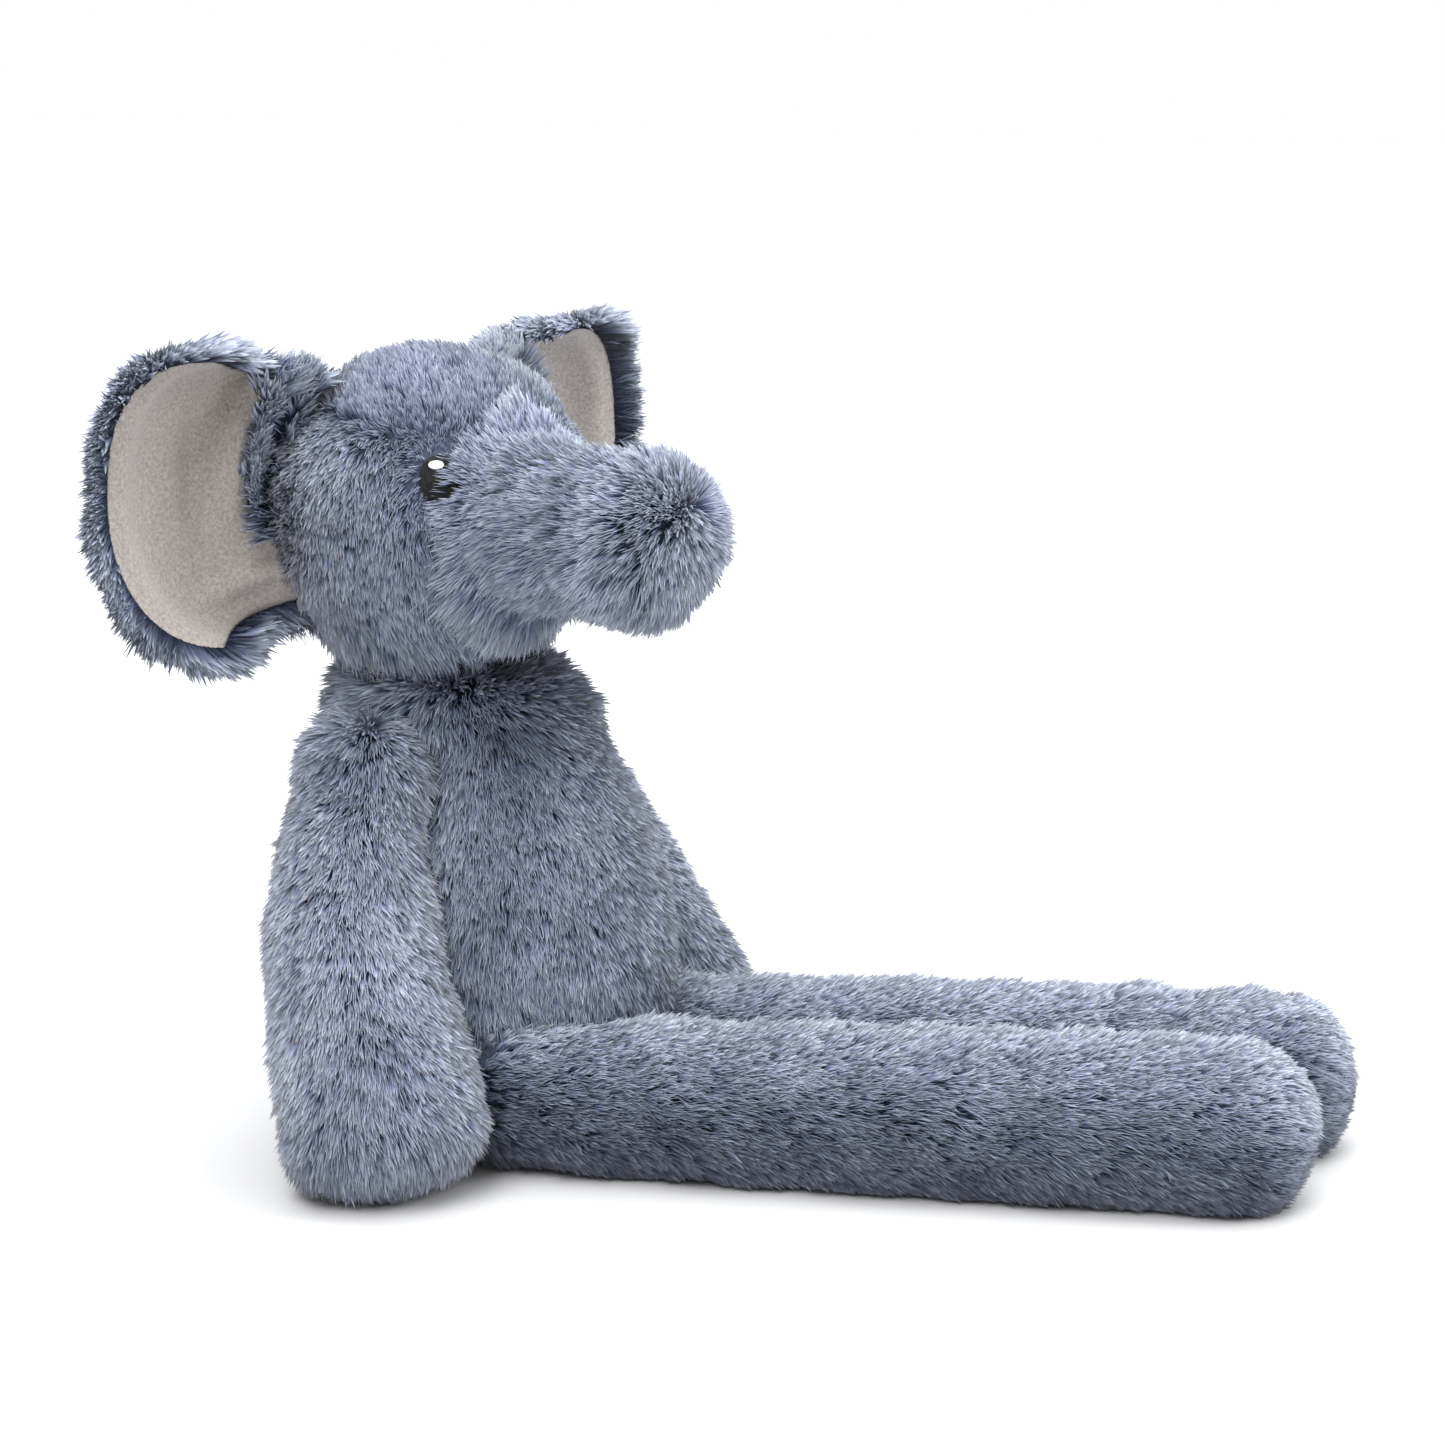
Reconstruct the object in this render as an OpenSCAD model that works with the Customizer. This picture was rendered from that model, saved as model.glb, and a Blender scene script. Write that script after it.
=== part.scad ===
// Long-legged stuffed elephant, sitting with its legs straight out.
// It faces -Y, its left side is +X, and it sits on z = 0. Millimetres.

/* [Cloth and stuffing] */
// Thickness of the plush cloth, without its pile
cloth = 1.2; // [0.8:0.1:1.6]
// Space between the cloth and the stuffing inside it
slack = 0.3; // [0.2:0.05:0.5]

/* [Body] */
// Height of the body from the seat to the neck seam
body_height = 118.5; // [114:0.5:118.5]
// Depth of the body at the belly, front to back
body_depth = 91; // [86:1:92]
// Width of the body at the belly
body_width = 75; // [70:1:75]

/* [Head] */
// Radius of the head ball
head_radius = 38.5; // [36:0.5:38.5]
// Height of the middle of the head above the seat
head_height = 160; // [160:1:164]
// Turn of the head away from straight ahead, to the elephant's right
head_turn = 15; // [0:1:20]
// Length of the trunk from the middle of the head to its tip
trunk_reach = 88; // [84:1:92]
// Width of an ear from its root to its outer edge
ear_width = 50; // [46:1:54]
// Height of an ear
ear_height = 71; // [66:1:74]

/* [Arms and legs] */
// Radius of a hand at its widest
hand_radius = 20; // [18:0.5:20.5]
// Radius of a leg along its straight part
leg_radius = 17.8; // [16.5:0.1:18]
// Length of a leg from the hip to the end of the foot
leg_length = 169; // [150:1:180]
// Turn of both legs away from straight ahead, to the elephant's left
leg_turn = 18.5; // [0:0.5:20]

/* [Trim] */
// Height of an embroidered eye
eye_height = 12.4; // [11:0.1:13]
// Length of the tail
tail_length = 44; // [36:1:50]

/* [Hidden] */

LEFT = 1;
RIGHT = -1;

// Steps around half a limb, and around a whole one
half_steps = 8;
round_steps = 2 * half_steps;
// A dome stops at this angle from its pole, which leaves a small stitched hole
dome_start = 10;
// Rings in a dome
dome_rings = 3;
// How far the inside face of a panel lies from its outside face
inside = -cloth;
// How far the stuffing lies from the panel's outside face
stuffing_inset = -cloth - slack;

plush = [0.50, 0.54, 0.64];
plush_under = [0.42, 0.46, 0.56];
velour = [0.74, 0.72, 0.70];
batting = [0.93, 0.93, 0.90];
bean_cloth = [0.86, 0.84, 0.76];
thread = [0.30, 0.33, 0.40];
eye_black = [0.03, 0.03, 0.04];
eye_white = [0.95, 0.95, 0.95];

// ---- Smooth curves through the rows of a table ----

function unit(v) = v / norm(v);

function row_slope(t, i, k) =
    let (a = max(i - 1, 0), b = min(i + 1, len(t) - 1))
    (t[b][k] - t[a][k]) / (t[b][0] - t[a][0]);

function row_before(t, s, i = 0) =
    i >= len(t) - 2 || s < t[i + 1][0] ? i : row_before(t, s, i + 1);

// Column k of table t at station s, along a smooth curve through its rows
function smooth(t, s, k) =
    let (
        i = row_before(t, s),
        h = t[i + 1][0] - t[i][0],
        q = min(max((s - t[i][0]) / h, 0), 1),
        a = 2 * q ^ 3 - 3 * q ^ 2 + 1,
        b = q ^ 3 - 2 * q ^ 2 + q,
        c = 3 * q ^ 2 - 2 * q ^ 3,
        d = q ^ 3 - q ^ 2
    )
    a * t[i][k] + b * h * row_slope(t, i, k) + c * t[i + 1][k] + d * h * row_slope(t, i + 1, k);

// ---- Rings: each is [centre, half-axis u, half-axis v] ----

// Points of one ring from angle a0 to angle a1, both ends included
function arc(ring, a0, a1, steps) = [
    for (i = [0:steps])
        let (a = a0 + (a1 - a0) * i / steps)
        ring[0] + ring[1] * cos(a) + ring[2] * sin(a)
];

// Stations [distance along, fraction of the radius] of a limb with a dome at each end
function dome_stations(first, last, dome_a, dome_b, middle, grow) = concat(
    [for (i = [0:dome_rings - 1])
        let (a = dome_start + (90 - dome_start) * i / dome_rings)
        [first + dome_a - (dome_a + grow) * cos(a), sin(a)]],
    [for (i = [0:middle])
        [first + dome_a + (last - first - dome_a - dome_b) * i / middle, 1]],
    [for (i = [dome_rings - 1:-1:0])
        let (a = dome_start + (90 - dome_start) * i / dome_rings)
        [last - dome_b + (dome_b + grow) * cos(a), sin(a)]]
);

function limb_point(t, s) = [smooth(t, s, 1), smooth(t, s, 2), smooth(t, s, 3)];

// Rings of a limb. Rows of t are [station, x, y, z, radius], side mirrors x,
// reference is the direction that u is square to, and grow moves the surface out
function limb_rings(t, dome_a, dome_b, middle, reference, side = 1, grow = 0) = [
    for (w = dome_stations(t[0][0], t[len(t) - 1][0], dome_a, dome_b, middle, grow))
        let (
            along = unit(limb_point(t, w[0] + 1) - limb_point(t, w[0] - 1)),
            p = limb_point(t, w[0]),
            centre = [side * p.x, p.y, p.z],
            dir = [side * along.x, along.y, along.z],
            u = unit(cross(reference, dir)),
            v = cross(dir, u),
            r = (smooth(t, w[0], 4) + grow) * w[1]
        )
        [centre, u * r, v * r]
];

// ---- Solids ----

function two(q) = [[q[0], q[1], q[2]], [q[0], q[2], q[3]]];

function triangles(quads) = [for (q = quads) each two(q)];

// A sheet of cloth between an outer and an inner grid of points, closed all round
module sheet_solid(outer, inner) {
    rows = len(outer) - 1;
    cols = len(outer[0]) - 1;
    w = cols + 1;
    n = (rows + 1) * w;
    quads = concat(
        [for (i = [0:rows - 1], j = [0:cols - 1])
            [i * w + j, (i + 1) * w + j, (i + 1) * w + j + 1, i * w + j + 1]],
        [for (i = [0:rows - 1], j = [0:cols - 1])
            [n + i * w + j, n + i * w + j + 1, n + (i + 1) * w + j + 1, n + (i + 1) * w + j]],
        [for (j = [0:cols - 1]) [j, j + 1, n + j + 1, n + j]],
        [for (j = [0:cols - 1], b = [rows * w]) [b + j + 1, b + j, n + b + j, n + b + j + 1]],
        [for (i = [0:rows - 1]) [(i + 1) * w, i * w, n + i * w, n + (i + 1) * w]],
        [for (i = [0:rows - 1])
            [i * w + cols, (i + 1) * w + cols, n + (i + 1) * w + cols, n + i * w + cols]]
    );
    polyhedron(points = concat([for (r = outer) each r], [for (r = inner) each r]),
               faces = triangles(quads));
}

// A panel of cloth over part of the way around a set of rings
module panel(outer_rings, inner_rings, a0, a1) {
    sheet_solid([for (r = outer_rings) arc(r, a0, a1, half_steps)],
                [for (r = inner_rings) arc(r, a0, a1, half_steps)]);
}

// A closed solid through a set of rings, with flat ends
module filling(rings) {
    n = round_steps;
    last = len(rings) - 1;
    points = [for (r = rings, i = [0:n - 1])
        r[0] + r[1] * cos(360 * i / n) + r[2] * sin(360 * i / n)];
    sides = [for (i = [0:last - 1], j = [0:n - 1])
        let (k = (j + 1) % n)
        [i * n + j, (i + 1) * n + j, (i + 1) * n + k, i * n + k]];
    polyhedron(points = points,
               faces = concat([[for (j = [0:n - 1]) j]],
                              [[for (j = [n - 1:-1:0]) last * n + j]],
                              triangles(sides)));
}

// ---- Body ----

// Outline of the body: [height, reach forward, reach back, half width], as
// fractions of the body's height, depth, depth and width
body_outline = [
    [0,     0.18,  0.24,  0.27],
    [0.04,  0.29,  0.36,  0.37],
    [0.12,  0.37,  0.43,  0.44],
    [0.24,  0.455, 0.465, 0.485],
    [0.39,  0.505, 0.475, 0.50],
    [0.60,  0.46,  0.45,  0.445],
    [0.75,  0.375, 0.42,  0.345],
    [0.87,  0.285, 0.41,  0.30],
    [0.94,  0.21,  0.40,  0.28],
    [0.985, 0.12,  0.355, 0.23],
    [1,     0.02,  0.275, 0.14]
];
body_rows = 15;

function body_ring(h, grow) =
    let (
        front = smooth(body_outline, h, 1) * body_depth,
        back = smooth(body_outline, h, 2) * body_depth,
        half = smooth(body_outline, h, 3) * body_width,
        z = body_height * h + (grow < 0 ? -grow * (1 - 2 * h) : 0)
    )
    [[0, (back - front) / 2, z], [half + grow, 0, 0], [0, (back + front) / 2 + grow, 0]];

// Closely spaced near the seat and the neck, where the outline turns quickly
function body_rings(grow, h0 = 0, h1 = 1) = [
    for (i = [0:body_rows]) body_ring(h0 + (h1 - h0) * (1 - cos(180 * i / body_rows)) / 2, grow)
];

bean_top = 0.13;
bean_gap = 0.01;

module torso_front_panel() {
    color(plush) panel(body_rings(0), body_rings(inside), 180, 360);
}

module torso_back_panel() {
    color(plush_under) panel(body_rings(0), body_rings(inside), 0, 180);
}

// Round panel that closes the bottom of the body, and that the toy sits on
module seat_base_panel() {
    ring = body_ring(0, 0);
    color(plush)
        translate(ring[0])
            cylinder(r = min(ring[1].x, ring[2].y) - cloth - slack, h = cloth, $fn = 64);
}

module torso_stuffing() {
    color(batting) filling(body_rings(stuffing_inset - 0.8, bean_top + bean_gap, 1));
}

module seat_bean_bag() {
    color(bean_cloth) filling(body_rings(stuffing_inset, 0, bean_top));
}

// ---- Neck ----

neck = [0, 12, 120];
neck_radius = 15;
stitch_count = 16;
stitch_radius = 0.4;
stitch_length = 4.4;
stitch_lean = 12;

module neck_seam_stitches() {
    color(thread)
        for (i = [0:stitch_count - 1])
            translate(neck) rotate([0, 0, 360 * i / stitch_count]) translate([neck_radius, 0, 0])
                rotate([90 - stitch_lean, 0, 0])
                    cylinder(r = stitch_radius, h = stitch_length, center = true, $fn = 24);
}

// ---- Head, in its own frame: forward is -Y and the middle of the head is the origin ----

head_centre = [-3, 13, head_height];
// The head ball is open in front, where the muzzle is sewn on
muzzle_opening = 32;
head_back_stop = 176;
head_rows = 11;

module in_head_frame() {
    translate(head_centre) rotate([0, 0, -head_turn]) children();
}

function head_rings(grow, a0, a1) = [
    for (i = [0:head_rows])
        let (a = a1 + (a0 - a1) * i / head_rows, r = head_radius + grow)
        [[0, -r * cos(a), 0], [r * sin(a), 0, 0], [0, 0, r * sin(a)]]
];

module head_panel(a0) {
    panel(head_rings(0, muzzle_opening, head_back_stop),
          head_rings(inside, muzzle_opening, head_back_stop), a0, a0 + 180);
}

module head_left_panel() { color(plush) in_head_frame() head_panel(-90); }

module head_right_panel() { color(plush_under) in_head_frame() head_panel(90); }

module head_stuffing() {
    color(batting) in_head_frame()
        intersection() {
            sphere(r = head_radius + stuffing_inset - 1.2, $fn = 48);
            translate([-50, 0.3 - head_radius * cos(muzzle_opening), -50]) cube(100);
        }
}

// ---- Muzzle and trunk, turned about the head's forward axis ----

muzzle_start = head_radius * cos(muzzle_opening) + 0.6;
muzzle_end = 50.5;
muzzle_radius = 22.5;
muzzle_end_radius = 16.3;

// Radius of the flared muzzle at a distance in front of the head's middle
function muzzle_at(s) =
    muzzle_end_radius + (muzzle_radius - muzzle_end_radius)
        * pow((muzzle_end - s) / (muzzle_end - muzzle_start), 1.4);

muzzle_steps = 6;

module muzzle_profile(r_outer, r_inner, s0, s1) {
    stations = [for (i = [0:muzzle_steps]) s0 + (s1 - s0) * i / muzzle_steps];
    rotate([90, 0, 0])
        rotate_extrude($fn = 48)
            polygon(concat(
                [for (s = stations) [muzzle_at(s) + r_outer, s]],
                r_inner == 0
                    ? [[0, s1], [0, s0]]
                    : [for (i = [muzzle_steps:-1:0]) [muzzle_at(stations[i]) + r_inner, stations[i]]]
            ));
}

module muzzle_collar() {
    color(plush) in_head_frame() muzzle_profile(0, inside, muzzle_start, muzzle_end);
}

module muzzle_stuffing() {
    color(batting) in_head_frame() muzzle_profile(stuffing_inset, 0, muzzle_start, muzzle_end - 2.5);
}

trunk_start = muzzle_end + 0.7;
trunk_dome = 6.8;
tip_dome = 9;
trunk_table = [
    [trunk_start,      0, -trunk_start,      0, 15.5],
    [60,               0, -60,               0, 15.2],
    [66,               0, -66,               0, 15.4],
    [77,               0, -77,               0, 17.0],
    [trunk_reach,      0, -trunk_reach,      0, 17.0]
];

function trunk_rings(grow) =
    limb_rings(trunk_table, trunk_dome, tip_dome, 6, [0, 0, 1], 1, grow);

module trunk_upper_panel() {
    color(plush) in_head_frame() panel(trunk_rings(0), trunk_rings(inside), 0, 180);
}

module trunk_lower_panel() {
    color(plush_under) in_head_frame() panel(trunk_rings(0), trunk_rings(inside), 180, 360);
}

module trunk_stuffing() {
    color(batting) in_head_frame() filling(trunk_rings(stuffing_inset));
}

// ---- Ears, in the head's frame ----

ear_root = [37.5, 17, 5.5];
// How far each ear is swept back
ear_sweep_left = 20.5;
ear_sweep_right = 12.5;
ear_root_height = 52;
// How far the ends of the root bend in towards the head
ear_root_bend = 8;
ear_back_thickness = 2.2;
ear_lining_thickness = 1.2;
ear_steps = 12;
// Depth of the cup between root and rim, and how far the rim rolls forward
ear_cup = 7;
ear_roll = 9;

// Below 1 makes the upper corner of the ear squarer
ear_corner = 0.72;

// A point of the ear's middle surface; u runs from root to rim, v from bottom to top
function ear_point(side, u, v, lift) =
    let (
        sweep = 90 * abs(v),
        corner = v > 0 ? ear_corner : 1,
        root = [-ear_root_bend * v ^ 2, ear_root_height / 2 * v],
        rim = [ear_width * (0.42 + 0.58 * pow(cos(sweep), corner)),
               sign(v) * ear_height / 2 * pow(sin(sweep), corner)],
        x = root.x + (rim.x - root.x) * u,
        z = root.y + (rim.y - root.y) * u,
        y = ear_cup * 4 * u * (1 - u) - ear_roll * u ^ 3 - 0.25 * ear_roll * v ^ 2 + lift,
        back = side > 0 ? ear_sweep_left : ear_sweep_right,
        turned = [x * cos(back) - y * sin(back), x * sin(back) + y * cos(back)]
    )
    [side * (ear_root.x + turned.x), ear_root.y + turned.y, ear_root.z + z];

function ear_grid(side, lift) = [
    for (i = [0:ear_steps]) [
        for (j = [0:ear_steps])
            ear_point(side, i / ear_steps, side * (1 - 2 * j / ear_steps), lift)
    ]
];

module ear_sheet(side, lift, thickness) {
    in_head_frame() sheet_solid(ear_grid(side, lift), ear_grid(side, lift + thickness));
}

module ear_back(side) { color(plush) ear_sheet(side, slack, ear_back_thickness); }

module ear_lining(side) { color(velour) ear_sheet(side, -ear_lining_thickness, ear_lining_thickness); }

// ---- Embroidered eyes, in the head's frame ----

eye_aspect = 0.86;
eye_turn = 39;
eye_lift = 18;
eye_thickness = 0.8;
highlight_size = [3.8, 2.2];
highlight_rise = 3.2;
highlight_thickness = 0.4;
patch_steps = 6;

// A point on the head ball, in a patch of half size w by h raised by lift.
// The square from -1 to 1 is folded onto the patch's oval
function patch_point(side, size, rise, lift, u, v) =
    let (
        x = u * sqrt(1 - v * v / 2) * size.x / 2,
        z = v * sqrt(1 - u * u / 2) * size.y / 2 + rise,
        out = [sin(eye_turn) * cos(eye_lift), -cos(eye_turn) * cos(eye_lift), sin(eye_lift)],
        across = [cos(eye_turn), sin(eye_turn), 0],
        up = cross(across, out) * -1,
        dir = unit(out * head_radius + across * x + up * z)
    )
    [side * dir.x, dir.y, dir.z] * (head_radius + lift);

function patch_grid(side, size, rise, lift) = [
    for (i = [0:patch_steps]) [
        for (j = [0:patch_steps])
            patch_point(side, size, rise, lift, side * (1 - 2 * i / patch_steps), 2 * j / patch_steps - 1)
    ]
];

module eye_patch_solid(side, size, rise, lift, thickness) {
    in_head_frame()
        sheet_solid(patch_grid(side, size, rise, lift + thickness), patch_grid(side, size, rise, lift));
}

module eye_patch(side) {
    color(eye_black)
        eye_patch_solid(side, [eye_height * eye_aspect, eye_height], 0, 0.2, eye_thickness);
}

module eye_highlight(side) {
    color(eye_white)
        eye_patch_solid(side, highlight_size, highlight_rise, 0.25 + eye_thickness, highlight_thickness);
}

// ---- Arms ----

shoulder_radius = 12;
hand_dome = 11;
arm_table = [
    [0,   33.5, 13,  109,   shoulder_radius],
    [13,  37,   13,  95.5,  shoulder_radius],
    [33,  47,   9.5, 78,    14.6],
    [54,  56,   3,   57,    17],
    [76,  62.5, -5,  36,    19],
    [92,  66,   -11, 20.5,  hand_radius],
    [107, 69,   -17, 7,     hand_radius]
];

function arm_rings(side, grow) =
    limb_rings(arm_table, shoulder_radius, hand_dome, 8, [1, 0, 0], side, grow);

module arm_panel(side, a0) {
    panel(arm_rings(side, 0), arm_rings(side, inside), a0, a0 + 180);
}

module arm_front_panel(side) { color(plush) arm_panel(side, 90); }

module arm_back_panel(side) { color(plush_under) arm_panel(side, -90); }

module arm_stuffing(side) { color(batting) filling(arm_rings(side, stuffing_inset)); }

// ---- Legs, each in its own frame: the hip is the origin and the leg runs along -Y ----

hip = [[-17.5, -49, 17.5], [30.5, -40, 17.5]];
hip_radius = 14.7;
foot_dome = 12;
foot_bag_length = 32;

function hip_of(side) = hip[side == LEFT ? 1 : 0];

module in_leg_frame(side) {
    translate(hip_of(side)) rotate([0, 0, leg_turn]) children();
}

function leg_row(s, z, r) = [s, 0, -s, z, r];

leg_table = [
    leg_row(-hip_radius, 0, hip_radius),
    leg_row(0, 0, hip_radius),
    leg_row(40, -0.2, leg_radius - 0.8),
    leg_row(85, 0.5, leg_radius),
    leg_row(leg_length - 30, 0.7, leg_radius + 0.2),
    leg_row(leg_length, 0.2, leg_radius - 0.4)
];

function leg_rings(grow) =
    limb_rings(leg_table, hip_radius, foot_dome, 10, [0, 0, 1], 1, grow);

// Rings of the stuffing between two stations of the leg, short of the domes
function leg_filling_rings(s0, s1) = [
    for (i = [0:5])
        let (s = s0 + (s1 - s0) * i / 5, r = smooth(leg_table, s, 4) + stuffing_inset)
        [limb_point(leg_table, s), [r, 0, 0], [0, 0, r]]
];

module leg_panel(side, a0) {
    in_leg_frame(side) panel(leg_rings(0), leg_rings(inside), a0, a0 + 180);
}

module leg_outer_panel(side) { color(plush) leg_panel(side, side == LEFT ? -90 : 90); }

module leg_inner_panel(side) { color(plush_under) leg_panel(side, side == LEFT ? 90 : -90); }

module leg_stuffing(side) {
    color(batting) in_leg_frame(side)
        filling(leg_filling_rings(0, leg_length - foot_dome - foot_bag_length));
}

module foot_bean_bag(side) {
    color(bean_cloth) in_leg_frame(side)
        filling(leg_filling_rings(leg_length - foot_dome - foot_bag_length + 0.5,
                                  leg_length - foot_dome));
}

// ---- Tail ----

// The tail hangs from the back, then curls round to the left on the ground
tail_radius = 3.4;
tail_root = [6, 47, 32];
tail_scale = tail_length / 44;
tail_table = [for (row = [
    [0,  0,    0,   0,     tail_radius],
    [12, 4.5,  3.5, -10.5, tail_radius],
    [24, 12,   4.5, -20,   tail_radius],
    [34, 21,   3,   -24.4, tail_radius],
    [44, 30.5, 0,   -26.4, tail_radius]
]) [row[0] * tail_scale, tail_root.x + row[1] * tail_scale, tail_root.y + row[2],
    tail_root.z + row[3], row[4]]];

tuft_radius = 5.6;
tuft_length = 16;
tuft_heading = [0.92, -0.39, 0];
tuft_start = limb_point(tail_table, 44 * tail_scale) + 0.5 * tuft_heading;

function tuft_row(s, z, r) = concat([s], tuft_start + tuft_heading * s + [0, 0, z], [r]);

tuft_table = [
    tuft_row(0,               0.1,  tail_radius + 0.6),
    tuft_row(tuft_length / 2, 0.6,  tuft_radius),
    tuft_row(tuft_length,     -0.7, tuft_radius * 0.7)
];

module tail_tube() {
    color(plush) filling(limb_rings(tail_table, 3, 2, 7, [0, 1, 0]));
}

module tail_tuft() {
    color(plush_under) filling(limb_rings(tuft_table, 3, 5, 4, [0, 0, 1]));
}

torso_front_panel();
torso_back_panel();
seat_base_panel();
torso_stuffing();
seat_bean_bag();
neck_seam_stitches();
head_left_panel();
head_right_panel();
head_stuffing();
muzzle_collar();
muzzle_stuffing();
trunk_upper_panel();
trunk_lower_panel();
trunk_stuffing();
ear_back(LEFT);  // left_ear_back
ear_lining(LEFT);  // left_ear_lining
ear_back(RIGHT);  // right_ear_back
ear_lining(RIGHT);  // right_ear_lining
eye_patch(LEFT);  // left_eye_patch
eye_highlight(LEFT);  // left_eye_highlight
eye_patch(RIGHT);  // right_eye_patch
eye_highlight(RIGHT);  // right_eye_highlight
arm_front_panel(LEFT);  // left_arm_front_panel
arm_back_panel(LEFT);  // left_arm_back_panel
arm_stuffing(LEFT);  // left_arm_stuffing
arm_front_panel(RIGHT);  // right_arm_front_panel
arm_back_panel(RIGHT);  // right_arm_back_panel
arm_stuffing(RIGHT);  // right_arm_stuffing
leg_inner_panel(LEFT);  // left_leg_inner_panel
leg_outer_panel(LEFT);  // left_leg_outer_panel
leg_stuffing(LEFT);  // left_leg_stuffing
foot_bean_bag(LEFT);  // left_foot_bean_bag
leg_inner_panel(RIGHT);  // right_leg_inner_panel
leg_outer_panel(RIGHT);  // right_leg_outer_panel
leg_stuffing(RIGHT);  // right_leg_stuffing
foot_bean_bag(RIGHT);  // right_foot_bean_bag
tail_tube();
tail_tuft();
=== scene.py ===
# Long-legged stuffed elephant in blue-grey plush, sitting with its legs straight out.
import math

import bpy
import numpy as np
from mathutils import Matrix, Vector


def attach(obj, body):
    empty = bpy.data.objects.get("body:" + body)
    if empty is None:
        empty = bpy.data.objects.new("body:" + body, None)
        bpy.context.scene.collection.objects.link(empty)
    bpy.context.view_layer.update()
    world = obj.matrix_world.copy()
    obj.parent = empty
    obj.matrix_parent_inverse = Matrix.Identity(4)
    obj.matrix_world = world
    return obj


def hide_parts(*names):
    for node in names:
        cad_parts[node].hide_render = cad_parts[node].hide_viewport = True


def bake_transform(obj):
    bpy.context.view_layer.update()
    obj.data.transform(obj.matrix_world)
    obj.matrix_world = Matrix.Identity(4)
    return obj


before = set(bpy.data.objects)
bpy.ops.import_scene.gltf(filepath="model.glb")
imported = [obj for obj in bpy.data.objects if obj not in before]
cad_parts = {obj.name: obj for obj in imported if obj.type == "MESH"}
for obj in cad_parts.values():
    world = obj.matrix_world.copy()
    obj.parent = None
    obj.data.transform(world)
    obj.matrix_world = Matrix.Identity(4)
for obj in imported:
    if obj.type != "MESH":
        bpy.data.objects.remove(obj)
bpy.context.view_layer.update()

MM = 0.001
CROWD = 1.0  # share of the fur that is made

# ---- Helpers: curves, frames and noise ----


def unit(v):
    return v / np.maximum(np.linalg.norm(v, axis=-1, keepdims=True), 1e-9)


def smooth(table, s):
    """Columns of table at stations s, along a smooth curve through its rows."""
    t = np.array(table, float)
    x, s = t[:, 0], np.atleast_1d(np.asarray(s, float))
    last = len(t) - 1
    i = np.clip(np.searchsorted(x, s, side="right") - 1, 0, last - 1)
    before, after = np.maximum(np.arange(last + 1) - 1, 0), np.minimum(np.arange(last + 1) + 1, last)
    slope = (t[after] - t[before]) / (x[after] - x[before])[:, None]
    h = (x[i + 1] - x[i])[:, None]
    q = np.clip((s - x[i])[:, None] / h, 0, 1)
    a, b = 2 * q**3 - 3 * q**2 + 1, q**3 - 2 * q**2 + q
    c, d = 3 * q**2 - 2 * q**3, q**3 - q**2
    return (a * t[i] + b * h * slope[i] + c * t[i + 1] + d * h * slope[i + 1])[:, 1:]


def ramp(x, low, high):
    """0 below low, 1 above high, smooth between."""
    q = np.clip((np.asarray(x, float) - low) / (high - low), 0, 1)
    return q * q * (3 - 2 * q)


def wander(p, seed, size):
    """Smooth noise between about -1 and 1 at points p, with features of that size."""
    r = np.random.default_rng(seed)
    total = np.zeros(p.shape[:-1])
    for _ in range(5):
        d = unit(r.normal(size=3))
        total += np.sin(p @ d * 2 * np.pi / (size * r.uniform(0.8, 2.0)) + r.uniform(0, 2 * np.pi))
    return total / 2.5


HEAD_CENTRE = np.array([-3.0, 13.0, 160.0])
HEAD_TURN = math.radians(-15)


def turned(p, angle, centre):
    """Points p turned about the vertical by angle, then moved to centre."""
    c, s = math.cos(angle), math.sin(angle)
    return p @ np.array([[c, s, 0], [-s, c, 0], [0, 0, 1]]) + centre


def from_head(p):
    return turned(np.asarray(p, float), HEAD_TURN, HEAD_CENTRE)


# ---- Skins: a closed surface with the direction its fur lies in ----


class Skin:
    """Points, faces and facts about the fur at each point.

    flow is the direction it lies in and lean its angle from the normal, in degrees. length and crowd
    scale the strands' length and number. tone lightens or darkens them, partly as the fur's own colour and
    partly as painted light and painted shade, where light falls on the fur or does not. shade, where it is
    given, takes the place of the normals in their shading.
    """

    def __init__(self, points, quads, triangles, flow):
        self.points = points
        self.quads, self.triangles = quads, triangles
        parts = [t for t in (quads[:, [0, 1, 2]], quads[:, [0, 2, 3]], triangles) if len(t)]
        self.tris = np.concatenate(parts)
        a, b, c = (points[self.tris[:, k]] for k in range(3))
        face = np.cross(b - a, c - a)
        if np.einsum("ij,ij->", a, face) < 0:
            self.tris, face = self.tris[:, ::-1], -face
            self.quads, self.triangles = quads[:, ::-1], triangles[:, ::-1]
        self.area = np.linalg.norm(face, axis=1) / 2
        self.normals = np.zeros_like(points)
        for k in range(3):
            np.add.at(self.normals, self.tris[:, k], face)
        self.normals = unit(self.normals)
        self.flow = flow
        n = len(points)
        self.length, self.crowd = np.ones(n), np.ones(n)
        self.lean, self.tone = np.full(n, 52.0), np.zeros(n)
        self.shade = None

    def moved(self, place):
        """The same skin with its points and directions carried by place()."""
        origin = place(np.zeros(3))
        self.points = place(self.points)
        self.normals = place(self.normals) - origin
        self.flow = place(self.flow) - origin
        return self


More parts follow.
